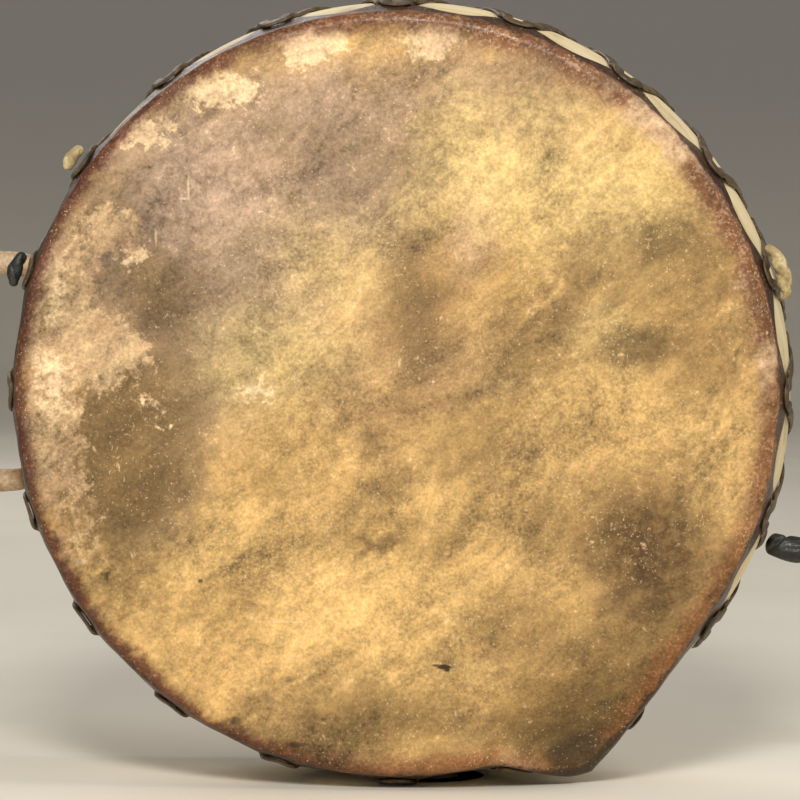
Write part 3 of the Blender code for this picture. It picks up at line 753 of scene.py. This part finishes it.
def makeHeadMaterial(name, blotches, shift, folded):
    look = headLook
    material, tree, shader, objectPlace = newMaterial(name, 0.5, 0.28)
    mapping = addNode(tree, "ShaderNodeMapping")
    mapping.inputs["Location"].default_value = (-axisX, 0.0, -axisZ)
    tree.links.new(objectPlace, mapping.inputs["Vector"])
    centred = mapping.outputs[0]
    flat = addNode(tree, "ShaderNodeVectorMath", operation="MULTIPLY")
    flat.inputs[1].default_value = (1.0, 0.0, 1.0)
    tree.links.new(centred, flat.inputs[0])
    shifted = addNode(tree, "ShaderNodeVectorMath", operation="ADD")
    shifted.inputs[1].default_value = shift
    tree.links.new(centred, shifted.inputs[0])
    soft = placeGroup(tree, warpGroup, [("Vector", flat.outputs[0])], Coarse=0.036, Fine=0.026).outputs[0]
    sharp = addNode(tree, "ShaderNodeMix", data_type="VECTOR")
    sharp.inputs[0].default_value = 0.045
    tree.links.new(flat.outputs[0], sharp.inputs[4])
    tree.links.new(soft, sharp.inputs[5])
    sharp = sharp.outputs[1]

    # uneven gold: slow clouds between deep and clear gold, then the named blotches, each broken up by grit
    slanted = addNode(tree, "ShaderNodeMapping", vector_type="TEXTURE")
    slanted.inputs["Rotation"].default_value = (0.0, math.radians(-38.0), 0.0)
    slanted.inputs["Scale"].default_value = (1.7, 1.0, 0.85)
    tree.links.new(shifted.outputs[0], slanted.inputs["Vector"])
    clouds = noiseNode(tree, slanted.outputs[0], 15.0, 5.0, 0.62, 0.5).outputs[0]
    streaks = noiseNode(tree, slanted.outputs[0], 46.0, 4.0, 0.70, 0.6).outputs[0]
    mottle = noiseNode(tree, shifted.outputs[0], 170.0, 3.0, 0.75, 0.3).outputs[0]
    grit = noiseNode(tree, shifted.outputs[0], 640.0, 1.0, 0.6).outputs[0]
    colour = mixColour(tree, rangeNode(tree, clouds, 0.36, 0.60), look["goldDeep"], look["gold"])
    colour = mixColour(tree, rangeNode(tree, streaks, 0.50, 0.70, 0.0, 0.45), colour, look["goldBright"])
    broken = mathNode(tree, "MULTIPLY_ADD", mathNode(tree, "SUBTRACT", mottle, 0.5), 1.5, 0.90, clamp=True)
    # the pale pink sheen blotches among these paint a highlight into the base colour
    for key in ("goldBright", "pink", "mauve", "paintedSheen", "yellow", "olive", "brown"):
        mask = mathNode(tree, "MULTIPLY", blotchMask(tree, soft, blotches[key]), broken)
        colour = mixColour(tree, mask, colour, look[key])
    for key, dullKey, paleKey in (("tan", "tanDull", "tan"), ("cream", "flesh", "cream")):
        mask = blotchMask(tree, soft, blotches[key])
        mask = mathNode(tree, "MULTIPLY_ADD", mathNode(tree, "SUBTRACT", mottle, 0.5), 2.3, mask)
        tone = mixColour(tree, rangeNode(tree, streaks, 0.40, 0.60), look[dullKey], look[paleKey])
        colour = mixColour(tree, rangeNode(tree, mask, 0.25, 0.85, 0.0, 0.92), colour, tone)

    # the rim band: maroon on the left, mottled pink-brown above and on the right, tan below, dark at its edge
    hidePlace = addNode(tree, "ShaderNodeSeparateXYZ")
    tree.links.new(tree.nodes["Texture Coordinate"].outputs["UV"], hidePlace.inputs[0])
    radial = mathNode(tree, "MULTIPLY", hidePlace.outputs[1], look["faceRadius"])
    split = addNode(tree, "ShaderNodeSeparateXYZ")
    tree.links.new(centred, split.inputs[0])
    # painted shade: the folded corner darkens as it sets back from the front, and a painted shadow darkens its far
    # edge
    if folded:
        past = mathNode(tree, "SUBTRACT", split.outputs[1], frontY)
        past = mathNode(tree, "MULTIPLY_ADD", mathNode(tree, "SUBTRACT", streaks, 0.5), 0.006, past)
        colour = mixColour(tree, rangeNode(tree, past, 0.0015, 0.0160, 0.0, 0.62), colour, look["foldShade"])
        foldEdgeShadow = rangeNode(tree, past, 0.0150, 0.0250, 0.0, 0.80)
    edge = mathNode(tree, "MULTIPLY_ADD", mathNode(tree, "SUBTRACT", streaks, 0.5), 0.018, radial)
    edge = mathNode(tree, "MULTIPLY_ADD", mathNode(tree, "SUBTRACT", mottle, 0.5), 0.014, edge)
    rightward = rangeNode(tree, split.outputs[0], -0.13, 0.10)
    width = rangeNode(tree, split.outputs[0], -0.13, 0.10, look["bandThin"], look["bandWide"])
    inward = mathNode(tree, "SUBTRACT", look["reach"], edge)
    band = mathNode(tree, "DIVIDE", inward, width)
    band = rangeNode(tree, band, 1.25, 0.55)
    rimColour = mixColour(tree, rightward, look["rimRed"], look["rimPink"])
    low = rangeNode(tree, split.outputs[2], 0.06, -0.15)
    rimColour = mixColour(tree, mathNode(tree, "MULTIPLY", low, rightward), rimColour, look["rimOrange"])
    paleGrain = rangeNode(tree, mathNode(tree, "ADD", mottle, grit), 0.98, 1.22)
    paleGrain = mathNode(tree, "MULTIPLY", paleGrain, mathNode(tree, "MULTIPLY_ADD", rightward, 0.13, 0.07))
    palePatch = mathNode(tree, "MULTIPLY", rangeNode(tree, clouds, 0.53, 0.63, 0.0, 0.60), rightward)
    paleGrain = mathNode(tree, "MAXIMUM", paleGrain, mathNode(tree, "MULTIPLY", palePatch, broken))
    paleGrain = mathNode(tree, "MULTIPLY", paleGrain, mathNode(tree, "MULTIPLY_ADD", low, -0.65, 1.0))
    rimColour = mixColour(tree, paleGrain, rimColour, look["rimPale"])
    colour = mixColour(tree, mathNode(tree, "MULTIPLY", band, 0.92), colour, rimColour)
    line = mathNode(tree, "MULTIPLY_ADD", low, 0.0022, edge)
    line = rangeNode(tree, line, look["reach"] - 0.0036, look["reach"] + 0.0006)
    colour = mixColour(tree, mathNode(tree, "MULTIPLY", line, 0.85), colour, look["rimLine"])
    if folded:
        # painted shadow along the folded corner's far edge
        colour = mixColour(tree, foldEdgeShadow, colour, look["edgeShade"])

    # grain over everything: light and dark grit, pale flecks, scratches and the few dark spots, one of which paints
    # the shade inside a small hole
    cloudy = noiseNode(tree, slanted.outputs[0], 27.0, 5.0, 0.74, 0.4).outputs[0]
    tone = mathNode(tree, "MULTIPLY_ADD", mathNode(tree, "SUBTRACT", mottle, 0.5), 1.0, 0.98)
    tone = mathNode(tree, "MULTIPLY_ADD", mathNode(tree, "SUBTRACT", cloudy, 0.5), 2.6, tone)
    tone = mathNode(tree, "MULTIPLY_ADD", mathNode(tree, "SUBTRACT", grit, 0.5), 0.9, tone)
    colour = mixColour(tree, 1.0, colour, tone, "MULTIPLY")
    grain = placeGroup(tree, grainGroup, [("Vector", shifted.outputs[0])], Fibre=0.35, Pores=0.25)
    speckle = rangeNode(tree, grain.outputs["Speckle"], 0.755, 0.84)
    colour = mixColour(tree, mathNode(tree, "MULTIPLY", speckle, 0.42), colour, look["speckle"])
    scratch = mathNode(tree, "MULTIPLY", blotchMask(tree, sharp, blotches["scratch"]), broken)
    colour = mixColour(tree, scratch, colour, look["speckle"])
    # dark spots, and painted shade where the hide has a small hole
    colour = mixColour(tree, blotchMask(tree, sharp, blotches["darkSpotsAndHoleShade"]), colour, look["darkSpotsAndHoleShade"])
    tree.links.new(colour, shader.inputs["Base Color"])
    gloss = rangeNode(tree, streaks, 0.3, 0.7, 0.62, 0.46)
    tree.links.new(mathNode(tree, "MULTIPLY_ADD", band, -0.18, gloss), shader.inputs["Roughness"])
    wrinkles = noiseNode(tree, shifted.outputs[0], 60.0, 4.0, 0.66).outputs[0]
    height = mathNode(tree, "MULTIPLY_ADD", wrinkles, 1.4, grain.outputs["Height"])
    addBump(tree, shader, height, 0.5, 0.0009)
    return material


def makeRollMaterial(name, pale, dark, stain, roughness, grainScale=1.0):
    # fibrous hide or leather: noise between a pale and a dark tone, with stains
    material, tree, shader, objectPlace = newMaterial(name, roughness)
    grain = placeGroup(tree, grainGroup, [("Vector", objectPlace)], Fibre=0.8 * grainScale, Pores=0.5)
    tone = noiseNode(tree, objectPlace, 120.0, 7.0, 0.66, 0.6).outputs[0]
    fine = noiseNode(tree, objectPlace, 520.0, 4.0, 0.6).outputs[0]
    blot = noiseNode(tree, objectPlace, 34.0, 5.0, 0.62, 0.3).outputs[0]
    colour = mixColour(tree, rangeNode(tree, tone, 0.36, 0.66), dark, pale)
    colour = mixColour(tree, rangeNode(tree, blot, 0.50, 0.72, 0.0, 0.7), colour, stain)
    colour = mixColour(tree, 1.0, colour, rangeNode(tree, fine, 0.3, 0.7, 0.78, 1.18), "MULTIPLY")
    tree.links.new(colour, shader.inputs["Base Color"])
    tree.links.new(rangeNode(tree, tone, 0.3, 0.7, roughness + 0.1, roughness - 0.08), shader.inputs["Roughness"])
    addBump(tree, shader, grain.outputs["Height"], 0.5, 0.0008)
    return material


def makeWoodMaterial():
    # pale wood bent round the drum: growth lines run round it, so noise is stretched along Y's cross direction
    material, tree, shader, objectPlace = newMaterial("shellWood", 0.6)
    mapping = addNode(tree, "ShaderNodeMapping")
    mapping.inputs["Scale"].default_value = (18.0, 420.0, 18.0)
    tree.links.new(objectPlace, mapping.inputs["Vector"])
    lines = noiseNode(tree, mapping.outputs[0], 1.0, 6.0, 0.6, 0.3).outputs[0]
    patches = noiseNode(tree, objectPlace, 28.0, 6.0, 0.62).outputs[0]
    split = addNode(tree, "ShaderNodeSeparateXYZ")
    tree.links.new(objectPlace, split.inputs[0])
    middleWay = mathNode(tree, "ABSOLUTE", mathNode(tree, "SUBTRACT", split.outputs[1], frontY + drumDepth / 2))
    middleWay = mathNode(tree, "MULTIPLY_ADD", mathNode(tree, "SUBTRACT", patches, 0.5), 0.05, middleWay)
    colour = mixColour(tree, rangeNode(tree, lines, 0.3, 0.7), (0.74, 0.59, 0.32), (0.93, 0.80, 0.53))
    colour = mixColour(tree, rangeNode(tree, patches, 0.5, 0.75, 0.0, 0.65), colour, (0.36, 0.22, 0.10))
    colour = mixColour(tree, rangeNode(tree, middleWay, 0.022, 0.050, 0.0, 0.6), colour, (0.40, 0.25, 0.11))
    tree.links.new(colour, shader.inputs["Base Color"])
    tree.links.new(rangeNode(tree, lines, 0.3, 0.7, 0.66, 0.5), shader.inputs["Roughness"])
    addBump(tree, shader, lines, 0.3, 0.0004)
    return material


print("building materials")
playedHide = makeHeadMaterial("playedHide", playedBlotches, (0.0, 0.0, 0.0), True)
backHide = makeHeadMaterial("backHide", plainBlotches, (1.7, 0.4, 0.9), False)
laceHide = makeRollMaterial("laceHide", (0.145, 0.095, 0.045), (0.040, 0.024, 0.012), (0.22, 0.145, 0.07), 0.5)
handleHide = makeRollMaterial("handleHide", (0.58, 0.42, 0.27), (0.36, 0.23, 0.13), (0.28, 0.16, 0.08), 0.6)
paleHide = makeRollMaterial("paleHide", (0.66, 0.54, 0.29), (0.36, 0.26, 0.12), (0.22, 0.14, 0.06), 0.6)
darkLeather = makeRollMaterial("darkLeather", (0.030, 0.034, 0.028), (0.009, 0.011, 0.010), (0.055, 0.045, 0.03), 0.42)
shellWood = makeWoodMaterial()

print("building the drum")
makeShell(shellWood)
makeHead("headPlayed", "head_front", True, playedHide)
makeHead("headBack", "head_back", False, backHide)
makeLacing(laceHide)
makeHandle(handleHide)
makeTie(darkLeather)
makeKnot("knotHandle", "handle_knot", 162.0, 0.0180, 0.0040, "dark_leather", darkLeather)
makeKnot("knotRight", "end_knot_right", 18.0, 0.0280, 0.0042, "pale_hide", paleHide)
makeKnot("knotLeft", "end_knot_left", 144.0, 0.0140, 0.0036, "pale_hide", paleHide)
makeKnot("knotTop", "end_knot_top", 90.0, 0.0100, 0.0032, "pale_hide", paleHide)

# Floor, wall, light and camera
stageValues = {
    "floorRadius": 2.6, "bend": 2.4, "wallTop": 4.0, "around": 96,
    "floorColour": (0.86, 0.82, 0.73), "floorWorn": (0.80, 0.76, 0.67), "wallGrey": (0.58, 0.56, 0.53), "greyHeight": 0.42,
    "cameraDistance": 2.3, "azimuthDeg": 4.6, "elevationDeg": 3.6, "imageSpan": 0.4,
    "aimX": 0.0032, "aimZ": -0.0020,
}


def makeStage():
    # round floor that sweeps up all round through a quarter circle, so that no edge shows from any side
    values = stageValues
    turn = np.linspace(0, math.pi / 2, 24)
    radii = np.concatenate([np.linspace(0.01, 1.0, 8) * values["floorRadius"],
                            values["floorRadius"] + values["bend"] * np.sin(turn)[1:],
                            [values["floorRadius"] + values["bend"]]])
    heights = np.concatenate([np.zeros(8), values["bend"] * (1 - np.cos(turn))[1:], [values["wallTop"]]])
    around = np.linspace(0, 2 * math.pi, values["around"], endpoint=False)
    points = np.stack([radii[:, None] * np.cos(around), radii[:, None] * np.sin(around),
                       np.broadcast_to(heights[:, None], (len(radii), len(around)))], axis=-1)
    points = np.concatenate([points.reshape(-1, 3), [[0.0, 0.0, 0.0]]])
    quads = gridFaces(len(radii), len(around), False, True)
    fan = capFans(len(points) - 1, np.arange(len(around)), False)
    floor = joinFaces("floorRound", points, quads, fan)
    material, tree, shader, objectPlace = newMaterial("floorPaint", 0.8, 0.2)
    mottle = noiseNode(tree, objectPlace, 3.0, 3.0, 0.5).outputs[0]
    colour = mixColour(tree, rangeNode(tree, mottle, 0.3, 0.7), values["floorColour"], values["floorWorn"])
    split = addNode(tree, "ShaderNodeSeparateXYZ")
    tree.links.new(objectPlace, split.inputs[0])
    colour = mixColour(tree, rangeNode(tree, split.outputs[2], 0.0, values["greyHeight"]), colour, values["wallGrey"])
    tree.links.new(colour, shader.inputs["Base Color"])
    floor.data.materials.append(material)


def addLight(name, spot, target, size, power, colour):
    light = bpy.data.lights.new(name, "AREA")
    light.size = size
    light.energy = power
    light.color = colour
    lamp = bpy.data.objects.new(name, light)
    lamp.location = spot
    lamp.rotation_euler = (Vector(target) - Vector(spot)).to_track_quat("-Z", "Y").to_euler()
    bpy.context.scene.collection.objects.link(lamp)


def makeCamera():
    values = stageValues
    azimuth = math.radians(values["azimuthDeg"])
    elevation = math.radians(values["elevationDeg"])
    target = Vector((axisX + values["aimX"], frontY, axisZ + values["aimZ"]))
    back = Vector((math.sin(azimuth) * math.cos(elevation), -math.cos(azimuth) * math.cos(elevation),
                   math.sin(elevation)))
    lens = bpy.data.cameras.new("viewCamera")
    lens.sensor_width = 36.0
    lens.lens = lens.sensor_width * values["cameraDistance"] / values["imageSpan"]
    camera = bpy.data.objects.new("viewCamera", lens)
    camera.location = target + back * values["cameraDistance"]
    camera.rotation_euler = (-back).to_track_quat("-Z", "Y").to_euler()
    bpy.context.scene.collection.objects.link(camera)
    bpy.context.scene.camera = camera


print("building the stage")
makeStage()
middle = (axisX, frontY, axisZ)
addLight("keySoft", (0.1, -1.9, 1.45), middle, 0.5, 38.0, (1.0, 0.96, 0.89))
addLight("fillSoft", (-1.5, -1.6, 0.9), middle, 1.6, 7.0, (1.0, 0.96, 0.92))
addLight("sideSoft", (1.4, -0.1, 1.5), (axisX, 0.0, 0.25), 0.9, 13.0, (1.0, 0.97, 0.92))
addLight("backSoft", (-0.9, 1.8, 1.4), (axisX, 0.0, 0.2), 1.2, 12.0, (1.0, 0.97, 0.93))
world = bpy.data.worlds.new("studioAir")
world.use_nodes = True
world.node_tree.nodes["Background"].inputs["Color"].default_value = (0.86, 0.82, 0.78, 1.0)
world.node_tree.nodes["Background"].inputs["Strength"].default_value = 0.22
bpy.context.scene.world = world
bpy.context.scene.view_settings.view_transform = "Standard"
makeCamera()
